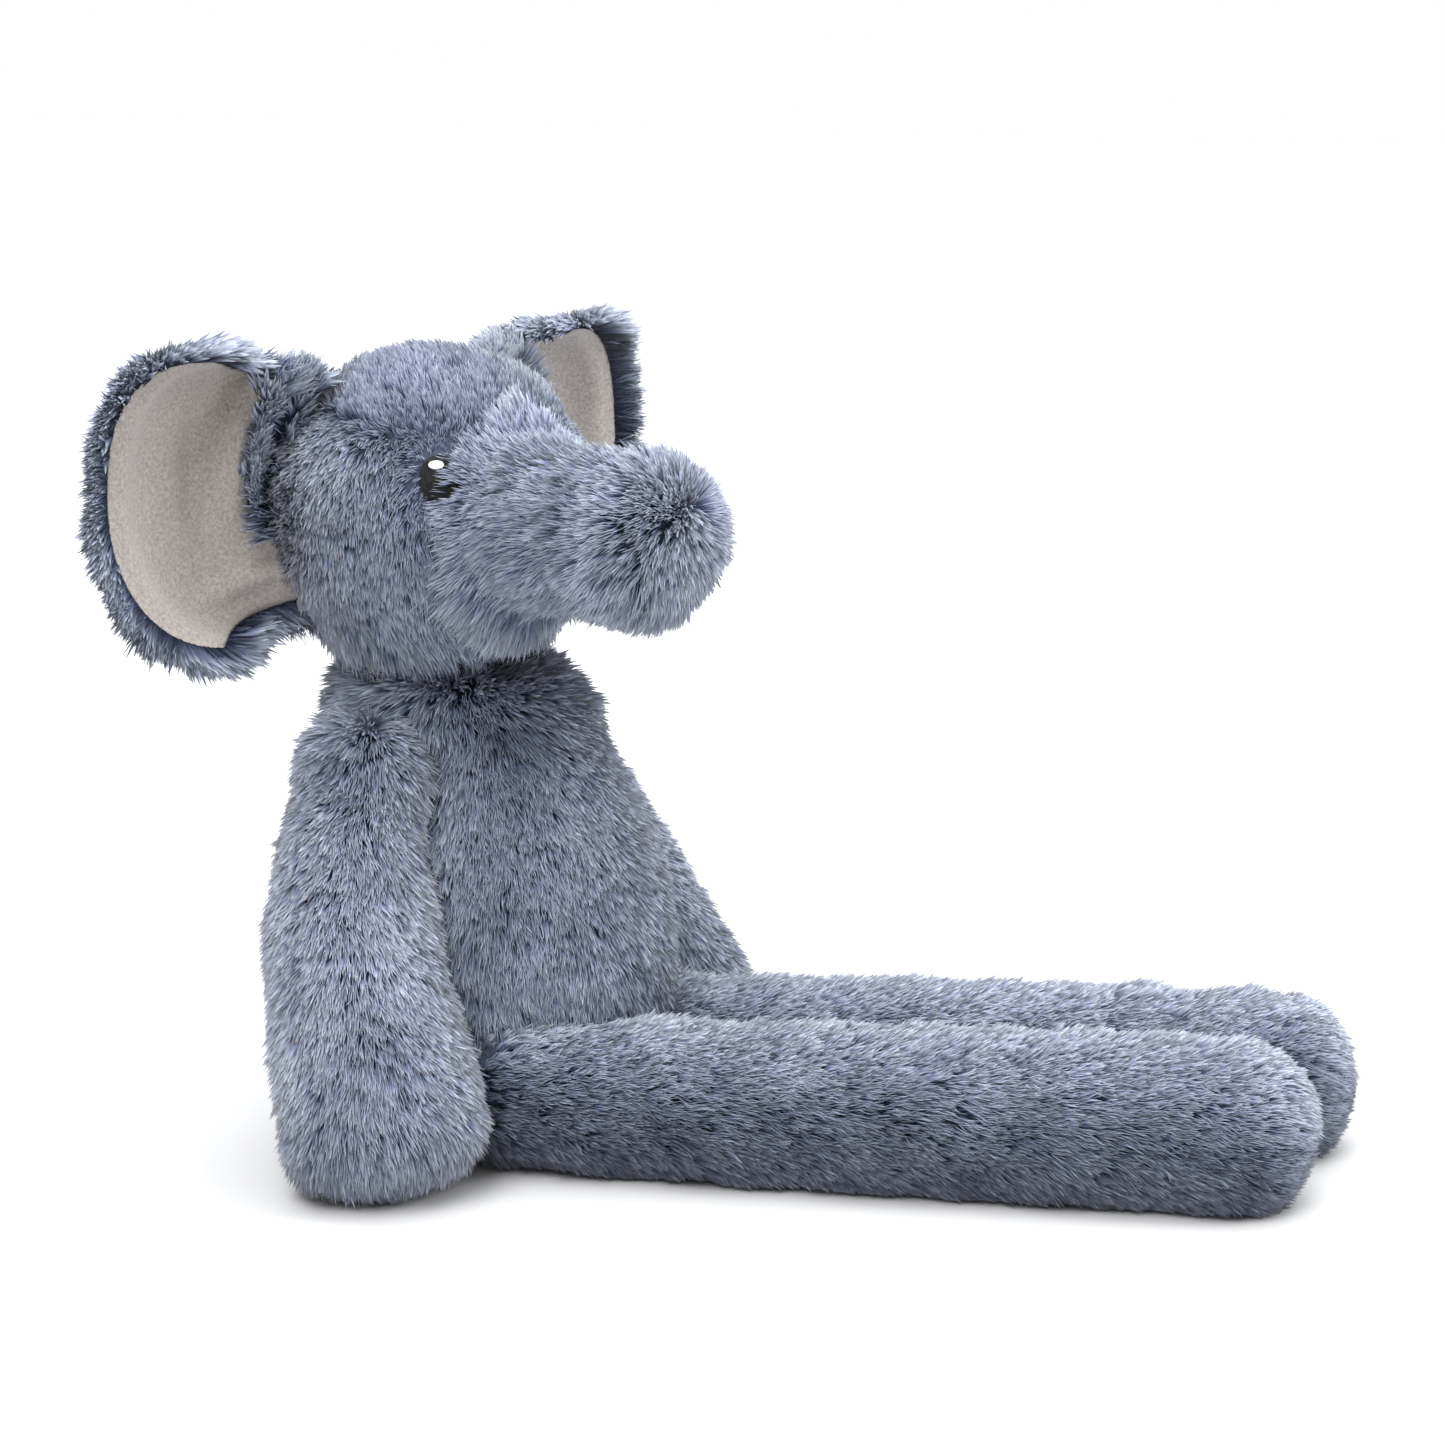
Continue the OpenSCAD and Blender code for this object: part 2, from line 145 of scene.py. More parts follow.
def tube(centres, us, vs, poles, around=56):
    """A closed skin through rings, flowing from the first ring to the last."""
    angle = np.arange(around) * 2 * np.pi / around
    grid = (
        centres[:, None]
        + us[:, None] * np.cos(angle)[None, :, None]
        + vs[:, None] * np.sin(angle)[None, :, None]
    )
    rows = len(centres)
    points = np.concatenate([grid.reshape(-1, 3), np.array(poles, float)])
    i, j = np.meshgrid(np.arange(rows - 1), np.arange(around), indexing="ij")
    k = (j + 1) % around
    quads = np.stack([i * around + j, (i + 1) * around + j, (i + 1) * around + k, i * around + k], -1)
    j = np.arange(around)
    k = (j + 1) % around
    end, last = (rows - 1) * around, rows * around
    fans = np.concatenate(
        [
            np.stack([np.full(around, last), j, k], -1),
            np.stack([np.full(around, last + 1), end + k, end + j], -1),
        ]
    )
    ahead = np.concatenate([grid[1:], grid[-1:]]) - np.concatenate([grid[:1], grid[:-1]])
    flow = np.concatenate([unit(ahead).reshape(-1, 3), np.zeros((2, 3))])
    skin = Skin(points, quads.reshape(-1, 4), fans, flow)
    skin.angle = np.concatenate([np.tile(angle, rows), [0, 0]])
    return skin


def limb(table, domes, steps, reference, side=1):
    """A tube along rows [station, x, y, z, radius] with a dome at each end."""
    first, last = table[0][0], table[-1][0]
    bow = np.radians(90 * (np.arange(5) + 1) / 6)
    middle = np.linspace(first + domes[0], last - domes[1], steps)
    s = np.concatenate(
        [first + domes[0] * (1 - np.cos(bow)), middle, (last - domes[1] + domes[1] * np.cos(bow))[::-1]]
    )
    share = np.concatenate([np.sin(bow), np.ones(steps), np.sin(bow)[::-1]])
    rows = smooth(table, s)
    along = unit(smooth(table, s + 1)[:, :3] - smooth(table, s - 1)[:, :3])
    mirror = np.array([side, 1, 1])
    centres, along = rows[:, :3] * mirror, along * mirror
    u = unit(np.cross(np.array(reference, float), along))
    v = np.cross(along, u)
    r = (rows[:, 3] * share)[:, None]
    poles = smooth(table, [first, last])[:, :3] * mirror
    skin = tube(centres, u * r, v * r, poles)
    around = (len(skin.points) - 2) // len(s)
    skin.station = np.concatenate([np.repeat(s, around), [first, last]])
    return skin


# ---- Meshes and fur ----


def mesh_object(name, points, faces, material, normals=None, uv=None):
    """A smooth-shaded mesh from arrays of faces; normals and uv are one row per point."""
    mesh = bpy.data.meshes.new(name)
    corners = np.concatenate([f.ravel() for f in faces]).astype(np.int32)
    sides = np.concatenate([np.full(len(f), f.shape[1]) for f in faces])
    mesh.vertices.add(len(points))
    mesh.vertices.foreach_set("co", (points * MM).astype(np.float32).ravel())
    mesh.loops.add(len(corners))
    mesh.loops.foreach_set("vertex_index", corners)
    mesh.polygons.add(len(sides))
    mesh.polygons.foreach_set("loop_start", (np.cumsum(sides) - sides).astype(np.int32))
    mesh.polygons.foreach_set("use_smooth", np.ones(len(sides), bool))
    if uv is not None:
        layer = mesh.uv_layers.new(name="OFBake")
        layer.data.foreach_set("uv", uv[corners].astype(np.float32).ravel())
    mesh.update(calc_edges=True)
    mesh.validate()
    if normals is not None:
        mesh.normals_split_custom_set_from_vertices(normals.astype(np.float32).tolist())
    mesh.materials.append(material)
    obj = bpy.data.objects.new(name, mesh)
    bpy.context.scene.collection.objects.link(obj)
    return obj


def skin_object(name, skin, material):
    faces = [f for f in (skin.quads, skin.triangles) if len(f)]
    return mesh_object(name, skin.points, faces, material)


def scatter(skin, per_mm2, rng, keep=None):
    """Random points of the skin, each with its facts."""
    weight = skin.area * skin.crowd[skin.tris].mean(axis=1)
    if keep is not None:
        weight = weight * keep[skin.tris].mean(axis=1)
    count = max(1, int(weight.sum() * per_mm2 * CROWD))
    pick = skin.tris[rng.choice(len(skin.tris), count, p=weight / weight.sum())]
    r1, r2 = np.sqrt(rng.random(count)), rng.random(count)
    share = np.stack([1 - r1, r1 * (1 - r2), r1 * r2], -1)

    def at(values):
        wide = values[pick]
        return np.einsum("ij,ijk->ik", share, wide) if values.ndim == 2 else (share * wide).sum(1)

    return {
        "p": at(skin.points),
        "n": unit(at(skin.normals)),
        "shade": unit(at(skin.normals if skin.shade is None else skin.shade)),
        "flow": at(skin.flow),
        "length": at(skin.length),
        "lean": at(skin.lean),
        "tone": at(skin.tone),
    }


STRANDS = 6  # in a clump
STRAND_WIDTH = 0.27
ROOT_DEPTH = 0.3  # of a strand's root below the skin
GATHER = 0.42  # how far a clump's tips draw together, from 0 to 1
PATCH = 16  # size of the patches in which fur changes its lie, length and tone
ROLL = 42  # the most that a strand turns about its own length, in degrees
FLOOR_GAP = 0.3  # between the floor and a strand's middle or tip
SKIN_SHARE, SIDE_SHARE = 0.56, 0.44  # of the skin's and the strand's own direction in its shading
# Triangles of a strand, whose corners are root, one, other and tip, and where V is at each corner
STRAND_FACES = np.array([[0, 2, 1], [3, 1, 2], [0, 1, 3], [0, 3, 2]])
STRAND_V = np.array([0.02, 0.5, 0.5, 0.98])


def fur(
    name,
    skin,
    seed,
    material,
    length=7.4,
    clumps=0.88,
    spread=0.62,
    swirl=9,
    droop=0.06,
    keep=None,
    floor=True,
):
    """Fur of strands in small clumps, lying along the skin's flow.

    A strand is a slim four-sided solid, widest at its middle, so that it has no back to see. clumps is
    their number for each square millimetre, and spread how far a clump's roots lie apart. swirl turns
    patches of fur, in degrees. keep thins it out where it is below 1, and floor keeps it off the floor.
    """
    rng = np.random.default_rng(seed)
    c = scatter(skin, clumps, rng, keep)
    p, n = c["p"], c["n"]
    t = c["flow"] - n * np.einsum("ij,ij->i", c["flow"], n)[:, None]
    t = unit(t + rng.normal(size=t.shape) * 0.02)
    b = np.cross(n, t)
    turn = np.radians(swirl * wander(p, seed + 1, PATCH) + rng.normal(0, 9, len(p)))
    t, b = (
        t * np.cos(turn)[:, None] + b * np.sin(turn)[:, None],
        b * np.cos(turn)[:, None] - t * np.sin(turn)[:, None],
    )
    lean = np.radians(
        np.clip(c["lean"] + 4.5 * wander(p, seed + 2, PATCH * 0.8) + rng.normal(0, 6, len(p)), 15, 86)
    )
    long = length * c["length"] * (1 + 0.12 * wander(p, seed + 3, PATCH) + rng.normal(0, 0.07, len(p)))
    aim = n * np.cos(lean)[:, None] + t * np.sin(lean)[:, None]
    shape = (len(p), STRANDS)
    off_t, off_b = rng.normal(0, spread, shape), rng.normal(0, spread, shape)
    root = p[:, None] + t[:, None] * off_t[..., None] + b[:, None] * off_b[..., None]
    root = root - n[:, None] * ROOT_DEPTH
    size = long[:, None] * rng.uniform(0.72, 1.12, shape)
    d = unit(aim[:, None] + rng.normal(0, 0.13, shape + (3,)))
    tip = root + d * size[..., None]
    centre_tip = p + aim * long[:, None] * 1.02
    tip += (centre_tip[:, None] - tip) * (GATHER * rng.uniform(0.5, 1.15, shape))[..., None]
    tip[..., 2] -= droop * size
    middle = (root + tip) / 2 + n[:, None] * (0.12 * size)[..., None]
    middle += rng.normal(0, 0.12, shape + (3,))
    root, middle, tip = (x.reshape(-1, 3) for x in (root, middle, tip))
    normal = np.repeat(n, STRANDS, axis=0)
    if floor:
        for x in (middle, tip):
            x[:, 2] = np.maximum(x[:, 2], FLOOR_GAP + rng.random(len(x)) * 0.5)
    lower, upper = unit(middle - root), unit(tip - middle)
    roll = np.radians(rng.uniform(-ROLL, ROLL, len(root)))[:, None]
    across = unit(np.cross((lower + upper) / 2, normal) + 1e-6)
    across = across * np.cos(roll) + np.cross(across, lower) * np.sin(roll)
    facing = np.repeat(c["shade"], STRANDS, axis=0)
    turned_away = np.einsum("ij,ij->i", np.cross(across, lower), facing) < 0
    across = across * np.where(turned_away, -1, 1)[:, None]
    half = (STRAND_WIDTH * rng.uniform(0.75, 1.25, len(root)) / 2)[:, None]
    one, other = middle - across * half, middle + across * half
    inside_out = (np.einsum("ij,ij->i", np.cross(one - root, other - root), tip - root) < 0)[:, None]
    one, other = np.where(inside_out, other, one), np.where(inside_out, one, other)
    points = np.stack([root, one, other, tip], 1)
    if floor:
        points[..., 2] = np.maximum(points[..., 2], 0.1)
    count = len(root)
    faces = (np.arange(count)[:, None, None] * 4 + STRAND_FACES).reshape(-1, 3)
    square = [unit(np.cross(across, x)) for x in (lower, upper)]
    low, high = (unit(facing * SKIN_SHARE + q * SIDE_SHARE) for q in square)
    normals = np.stack([low, low + high, low + high, high], 1)
    clump_tone = 0.10 * wander(p, seed + 4, PATCH) + rng.normal(0, 0.10, len(p))
    tone = np.repeat(clump_tone + 0.5 * c["tone"], STRANDS)
    tone = np.clip(0.5 + tone + rng.normal(0, 0.12, count), 0.03, 0.97)
    u = np.stack([tone, tone - 0.006, tone + 0.006, tone], 1)
    v = np.broadcast_to(STRAND_V, u.shape)
    return mesh_object(
        name,
        points.reshape(-1, 3),
        [faces],
        material,
        normals=unit(normals).reshape(-1, 3),
        uv=np.stack([u, v], -1).reshape(-1, 2),
    )


# ---- Materials ----


def linear(r, g, b):
    """An sRGB colour of 0 to 255 as the linear colour that shaders take."""
    x = np.array([r, g, b]) / 255
    return tuple(np.where(x <= 0.04045, x / 12.92, ((x + 0.055) / 1.055) ** 2.4)) + (1.0,)


def material_nodes(name, roughness):
    mat = bpy.data.materials.new(name)
    mat.use_nodes = True
    nodes, links = mat.node_tree.nodes, mat.node_tree.links
    shader = nodes["Principled BSDF"]
    shader.inputs["Roughness"].default_value = roughness
    return mat, nodes, links, shader


def gradient(nodes, stops):
    """A colour ramp through stops of (place, sRGB colour)."""
    node = nodes.new("ShaderNodeValToRGB")
    elements = node.color_ramp.elements
    while len(elements) < len(stops):
        elements.new(0.5)
    for element, (at, colour) in zip(elements, stops):
        element.position = at
        element.color = linear(*colour)
    return node


def fur_material(name, root, body, tip):
    """Strand colour runs from root to tip along V of fur()'s UV map, darkest at the root as painted shade
    deep in the fur, and lightens with U.
    """
    mat, nodes, links, shader = material_nodes(name, 0.78)
    shader.inputs["Specular IOR Level"].default_value = 0.25
    shader.inputs["Sheen Weight"].default_value = 0.25
    shader.inputs["Sheen Roughness"].default_value = 0.4
    uv = nodes.new("ShaderNodeUVMap")
    uv.uv_map = "OFBake"
    split = nodes.new("ShaderNodeSeparateXYZ")
    links.new(uv.outputs["UV"], split.inputs[0])
    # Darkest at the root: painted shade deep in the fur.
    along = gradient(nodes, [(0.05, root), (0.55, body), (1.0, tip)])
    links.new(split.outputs["Y"], along.inputs["Fac"])
    tone = gradient(nodes, [(0.0, (128, 131, 141)), (0.5, (205, 206, 209)), (1.0, (255, 254, 252))])
    links.new(split.outputs["X"], tone.inputs["Fac"])
    mix = nodes.new("ShaderNodeMix")
    mix.data_type = "RGBA"
    mix.blend_type = "MULTIPLY"
    mix.inputs[0].default_value = 1.0
    links.new(along.outputs["Color"], mix.inputs[6])
    links.new(tone.outputs["Color"], mix.inputs[7])
    links.new(mix.outputs[2], shader.inputs["Base Color"])
    return mat


def cloth_material(name, dark, light, size, roughness=0.85, bump=0.2, sheen=0.3):
    """Knitted backing, velour or thread: a fine speckle of that size with a matching bump."""
    mat, nodes, links, shader = material_nodes(name, roughness)
    shader.inputs["Sheen Weight"].default_value = sheen
    where = nodes.new("ShaderNodeTexCoord")
    speckle = nodes.new("ShaderNodeTexNoise")
    speckle.inputs["Scale"].default_value = 1000 / size
    speckle.inputs["Detail"].default_value = 3
    links.new(where.outputs["Object"], speckle.inputs["Vector"])
    colour = gradient(nodes, [(0.3, dark), (0.7, light)])
    links.new(speckle.outputs["Fac"], colour.inputs["Fac"])
    links.new(colour.outputs["Color"], shader.inputs["Base Color"])
    relief = nodes.new("ShaderNodeBump")
    relief.inputs["Strength"].default_value = bump
    relief.inputs["Distance"].default_value = 0.0002
    links.new(speckle.outputs["Fac"], relief.inputs["Height"])
    links.new(relief.outputs["Normal"], shader.inputs["Normal"])
    return mat


plush = fur_material("plush_fur", (60, 69, 98), (133, 145, 176), (228, 235, 251))
# The knitted backing under the fur is dark blue-grey: painted shade in the gaps between the strands.
painted_shade_backing = cloth_material("painted_shade_backing", (54, 61, 82), (80, 89, 112), 0.9)
velour = cloth_material("velour_lining", (146, 139, 135), (184, 177, 171), 0.8, bump=0.12, sheen=0.4)
eye_black = cloth_material(
    "eye_thread_black", (9, 9, 10), (22, 22, 24), 0.4, roughness=0.42, bump=0.3, sheen=0.0
)
eye_white = cloth_material(
    "eye_thread_white", (232, 232, 230), (250, 250, 250), 0.4, roughness=0.45, bump=0.3, sheen=0.0
)
seam_thread = cloth_material("seam_thread", (62, 68, 86), (96, 103, 124), 0.5)

# ---- Body ----

BODY = {"height": 118.5, "depth": 91.0, "width": 75.0}
# Rows are [height, reach forward, reach back, half width], as fractions of the sizes above
BODY_OUTLINE = [
    [0, 0.18, 0.24, 0.27],
    [0.04, 0.29, 0.36, 0.37],
    [0.12, 0.37, 0.43, 0.44],
    [0.24, 0.455, 0.465, 0.485],
    [0.39, 0.505, 0.475, 0.50],
    [0.60, 0.46, 0.45, 0.445],
    [0.75, 0.375, 0.42, 0.345],
    [0.87, 0.285, 0.41, 0.30],
    [0.94, 0.21, 0.40, 0.28],
    [0.985, 0.12, 0.355, 0.23],
    [1, 0.02, 0.275, 0.14],
]


def body_skin():
    """The torso; its fur hangs down, turns outward at the collar and is thin where it sits."""
    h = (1 - np.cos(np.pi * np.arange(40) / 39)) / 2
    front, back, half = (smooth(BODY_OUTLINE, h) * [BODY["depth"], BODY["depth"], BODY["width"]]).T
    zero = np.zeros_like(h)
    centres = np.stack([zero, (back - front) / 2, h * BODY["height"]], -1)
    u = np.stack([half, zero, zero], -1)
    v = np.stack([zero, (back + front) / 2, zero], -1)
    skin = tube(centres[::-1], u[::-1], v[::-1], [centres[-1], centres[0]], around=72)
    z = skin.points[:, 2]
    outward = skin.points * [1, 1, 0] - [0, 6, 0]
    skin.flow = unit(np.array([0, -0.12, -1.0]) + 0.25 * unit(outward) * ramp(z, 60, 110)[:, None])
    collar = ramp(z, 100, 114)[:, None]
    spread_out = unit(skin.points * [1, 1, 0] - [0, 8, 0]) + [0, 0, 0.15]
    skin.flow = unit(skin.flow * (1 - collar) + spread_out * collar)
    skin.crowd = 0.25 + 0.75 * ramp(z, 1, 7)
    skin.length = 1 + 0.5 * collar[:, 0]
    # Painted shade: the upper chest below the head is darkened where the head shades it.
    skin.tone = -0.7 * ramp(z, 82, 112) * ramp(-skin.points[:, 1], -30, 10)
    skin.lean += 22 * (1 - ramp(z, 0, 14)) - 8 * collar[:, 0]
    return skin


body = body_skin()
torso = skin_object("torso_plush", body, painted_shade_backing)
front_half = ramp(-body.points[:, 1], -0.5, 0.5)
upper_half = ramp(body.points[:, 2], 54, 56)
torso_pieces = [
    torso,
    fur("torso_fur_chest", body, 100, plush, keep=front_half * upper_half),
    fur("torso_fur_belly", body, 110, plush, keep=front_half * (1 - upper_half)),
    fur("torso_fur_shoulders", body, 120, plush, keep=(1 - front_half) * upper_half),
    fur("torso_fur_rump", body, 130, plush, keep=(1 - front_half) * (1 - upper_half)),
]
for piece in torso_pieces:
    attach(piece, "torso")
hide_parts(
    "torso_front_panel",
    "torso_back_panel",
    "seat_base_panel",
    "torso_stuffing",
    "seat_bean_bag",
)

# ---- Head ----

HEAD_RADIUS = 38.5
EYE_TURN, EYE_LIFT = math.radians(39), math.radians(18)
EYE_SIZE = (10.7, 12.4)


def eye_frame(side):
    """Out, across and up directions of an eye, in the head's frame."""
    out = np.array(
        [
            math.sin(EYE_TURN) * math.cos(EYE_LIFT),
            -math.cos(EYE_TURN) * math.cos(EYE_LIFT),
            math.sin(EYE_LIFT),
        ]
    )
    across = np.array([math.cos(EYE_TURN), math.sin(EYE_TURN), 0])
    up = -np.cross(across, out)
    mirror = np.array([side, 1, 1])
    return out * mirror, across * mirror, up * mirror


def head_skin():
    """A ball whose fur parts above the eyes, turns away from each eye and is left out under the muzzle."""
    a = np.radians(180 * (np.arange(47) + 1) / 48)
    zero = np.zeros_like(a)
    centres = np.stack([zero, -HEAD_RADIUS * np.cos(a), zero], -1)
    r = HEAD_RADIUS * np.sin(a)
    u, v = np.stack([r, zero, zero], -1), np.stack([zero, zero, r], -1)
    skin = tube(centres, u, v, [[0, -HEAD_RADIUS, 0], [0, HEAD_RADIUS, 0]], around=96)
    p = skin.points
    forward = -p[:, 1] / HEAD_RADIUS
    z = p[:, 2] / HEAD_RADIUS
    parting = 0.56 + 0.12 * ramp(-forward, -0.5, 0.3)
    up = ramp(z - parting, -0.06, 0.06)[:, None]
    top = np.array([0, 0.45, 1.0])
    down = np.array([0, -0.35, -1.0])
    skin.flow = unit(top * up + down * (1 - up))
    near_parting = np.exp(-(((z - parting) / 0.10) ** 2))
    skin.lean = 50 - 14 * near_parting
    skin.length = 0.92 - 0.30 * near_parting
    # Painted shade: darker along the parting, where the fur opens onto its shaded depth, and over the
    # crown.
    skin.tone = -0.35 * near_parting - 0.3 * ramp(z, 0.6, 0.95)
    off_axis = np.degrees(np.arccos(np.clip(forward, -1, 1)))
    skin.crowd = ramp(off_axis, 33, 40)
    # Painted shade in the crease where the muzzle meets the lower head.
    skin.tone = skin.tone - 0.45 * (1 - ramp(off_axis, 42, 54)) * (1 - ramp(z, 0.3, 0.6))
    skin.length = skin.length * (0.7 + 0.3 * ramp(off_axis, 40, 52)) * (1 + 0.6 * ramp(-z, 0.5, 0.85))
    for side in (1, -1):
        out, across, rise = eye_frame(side)
        x = (p @ across) / (EYE_SIZE[0] / 2)
        y = (p @ rise) / (EYE_SIZE[1] / 2)
        apart = np.where(p @ out > 0, np.hypot(x, y), 9)
        skin.crowd = skin.crowd * ramp(apart, 1.0, 1.2)
        close = 1 - ramp(apart, 1.15, 2.7)
        skin.length = skin.length * (1 - 0.6 * close)
        away = unit(p - out * HEAD_RADIUS)
        skin.flow = unit(skin.flow + away * (1.8 * close)[:, None])
        at_ear = np.exp(-((np.hypot(p[:, 0] - side * 34, p[:, 1] - 13) / 13) ** 2)) * ramp(p[:, 2], -26, 4)
        skin.flow = unit(skin.flow + np.array([side * 2.2, -0.6, 1.0]) * at_ear[:, None])
        skin.length = skin.length * (1 + 0.5 * at_ear)
        # Painted light: the fur at the ear's root is lightened against the shade that the ear casts.
        skin.tone = skin.tone + 0.25 * at_ear
    return skin.moved(from_head)


head_surface = head_skin()
head = skin_object("head_plush", head_surface, painted_shade_backing)
left_half = ramp(turned(head_surface.points - HEAD_CENTRE, -HEAD_TURN, 0)[:, 0], -0.5, 0.5)
head_pieces = [
    fur("head_fur_left", head_surface, 200, plush, length=6.8, keep=left_half, floor=False),
    fur("head_fur_right", head_surface, 210, plush, length=6.8, keep=1 - left_half, floor=False),
]
for piece in [head] + head_pieces:
    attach(piece, "head")
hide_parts("head_left_panel", "head_right_panel", "head_stuffing")

# ---- Muzzle and trunk ----

TRUNK_TABLE = [
    [22, 0, -22, 0, 25.5],
    [28, 0, -28, 0, 24.0],
    [33, 0, -33, 0, 22.3],
    [38, 0, -38, 0, 19.4],
    [44, 0, -44, -0.3, 17.0],
    [51, 0, -51, -0.6, 16.2],
    [60, 0, -60, -0.6, 16.4],
    [66, 0, -66, -0.4, 16.9],
    [77, 0, -77, 0, 17.3],
    [88, 0, -88, 0, 17.0],
]


def trunk_skin():
    """Muzzle and trunk; the fur fans back from a whorl at the trunk's end."""
    skin = limb(TRUNK_TABLE, (3, 9), 34, [0, 0, 1])
    p, s = skin.points, skin.station
    whorl = np.array([6.0, -91.0, 9.0])
    radial = unit(p - whorl)
    near = ramp(s, 62, 80)[:, None]
    skin.flow = unit(-skin.flow * (1 - near) + radial * near)
    skin.flow[:, 2] -= 0.25 * (1 - ramp(s, 60, 75))
    at_whorl = np.exp(-((np.linalg.norm(p - whorl, axis=1) / 8) ** 2))
    skin.crowd = ramp(s, 29, 32) * (1 + 0.9 * at_whorl)
    skin.length = 1 + 0.45 * (1 - ramp(s, 33, 44)) - 0.14 * ramp(s, 66, 82)
    for side in (1, -1):
        near_eye = ramp(p @ eye_frame(side)[0], 30, 38) * (1 - ramp(s, 38, 44))
        skin.length = skin.length * (1 - 0.48 * near_eye)
    skin.lean = 54 - 6 * ramp(s, 66, 80) - 8 * (1 - ramp(s, 32, 42)) - 16 * at_whorl
    skin.tone = 0.45 * (1 - ramp(s, 33, 52)) + 0.55 * ramp(s, 66, 80) + 0.3 * at_whorl
    return skin.moved(from_head)


trunk_surface = trunk_skin()
trunk = skin_object("muzzle_trunk_plush", trunk_surface, painted_shade_backing)
trunk_fur = fur(
    "muzzle_trunk_fur",
    trunk_surface,
    300,
    plush,
    clumps=0.95,
    length=8,
    floor=False,
    swirl=18,
    droop=0.08,
)
for piece in (trunk, trunk_fur):
    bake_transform(piece)
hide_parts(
    "muzzle_collar",
    "muzzle_stuffing",
    "trunk_upper_panel",
    "trunk_lower_panel",
    "trunk_stuffing",
)

# ---- Ears ----

EAR_ROOT = np.array([37.5, 17.0, 5.5])
EAR_SIZE = (50.0, 71.0)
EAR_SWEEP = {1: math.radians(20.5), -1: math.radians(12.5)}
EAR_ROWS, EAR_COLS = 36, 60


def ear_point(side, u, v, lift):
    """Middle of the ear; u runs from root to rim, v from bottom (-1) to top (1)."""
    sweep = np.radians(90) * np.abs(v)
    corner = np.where(v > 0, 0.72, 1.0)
    root_x, root_z = -8 * v**2, 26 * v
    rim_x = EAR_SIZE[0] * (0.42 + 0.58 * np.maximum(np.cos(sweep), 0) ** corner)
    rim_z = np.sign(v) * EAR_SIZE[1] / 2 * np.sin(sweep) ** corner
    x = root_x + (rim_x - root_x) * u
    z = root_z + (rim_z - root_z) * u
    y = 28 * u * (1 - u) - 9 * u**3 - 2.25 * v**2 + lift
    c, s = math.cos(EAR_SWEEP[side]), math.sin(EAR_SWEEP[side])
    x, y = x * c - y * s, x * s + y * c
    return np.stack([side * (EAR_ROOT[0] + x), EAR_ROOT[1] + y, EAR_ROOT[2] + z], -1)


def ear_folds(u, v):
    """How far the front stands forward: a pleat beside the head, a small fold low down and the rim."""
    beside = ramp(v, -0.6, 0.3)
    pleat = 0.22 + 0.06 * v
    ridge = 5.5 * np.exp(-(((u - pleat) / 0.09) ** 2))
    ridge = ridge - 3.5 * np.exp(-(((u - pleat - 0.19) / 0.08) ** 2))
    low = 1.8 * np.exp(-(((v + 0.68) / 0.10) ** 2)) * ramp(u, 0, 0.15) * (1 - ramp(u, 0.45, 0.7))
    rim = 2.4 * np.exp(-(((u - 0.9) / 0.08) ** 2))
    return ridge * beside + low + rim


def leaf_faces(rows, cols):
    """Quads of a front grid, a back grid after it, and the wall that joins their edges."""
    i, j = np.meshgrid(np.arange(rows - 1), np.arange(cols - 1), indexing="ij")
    base = (i * cols + j).reshape(-1)
    quads = np.stack([base, base + cols, base + cols + 1, base + 1], -1)
    n = rows * cols
    ring = np.concatenate(
        [
            np.arange(cols),
            np.arange(1, rows) * cols + cols - 1,
            (rows - 1) * cols + np.arange(cols - 2, -1, -1),
            np.arange(rows - 2, 0, -1) * cols,
        ]
    )
    after = np.roll(ring, -1)
    wall = np.stack([ring, after, after + n, ring + n], -1)
    return np.concatenate([quads, quads[:, ::-1] + n, wall])


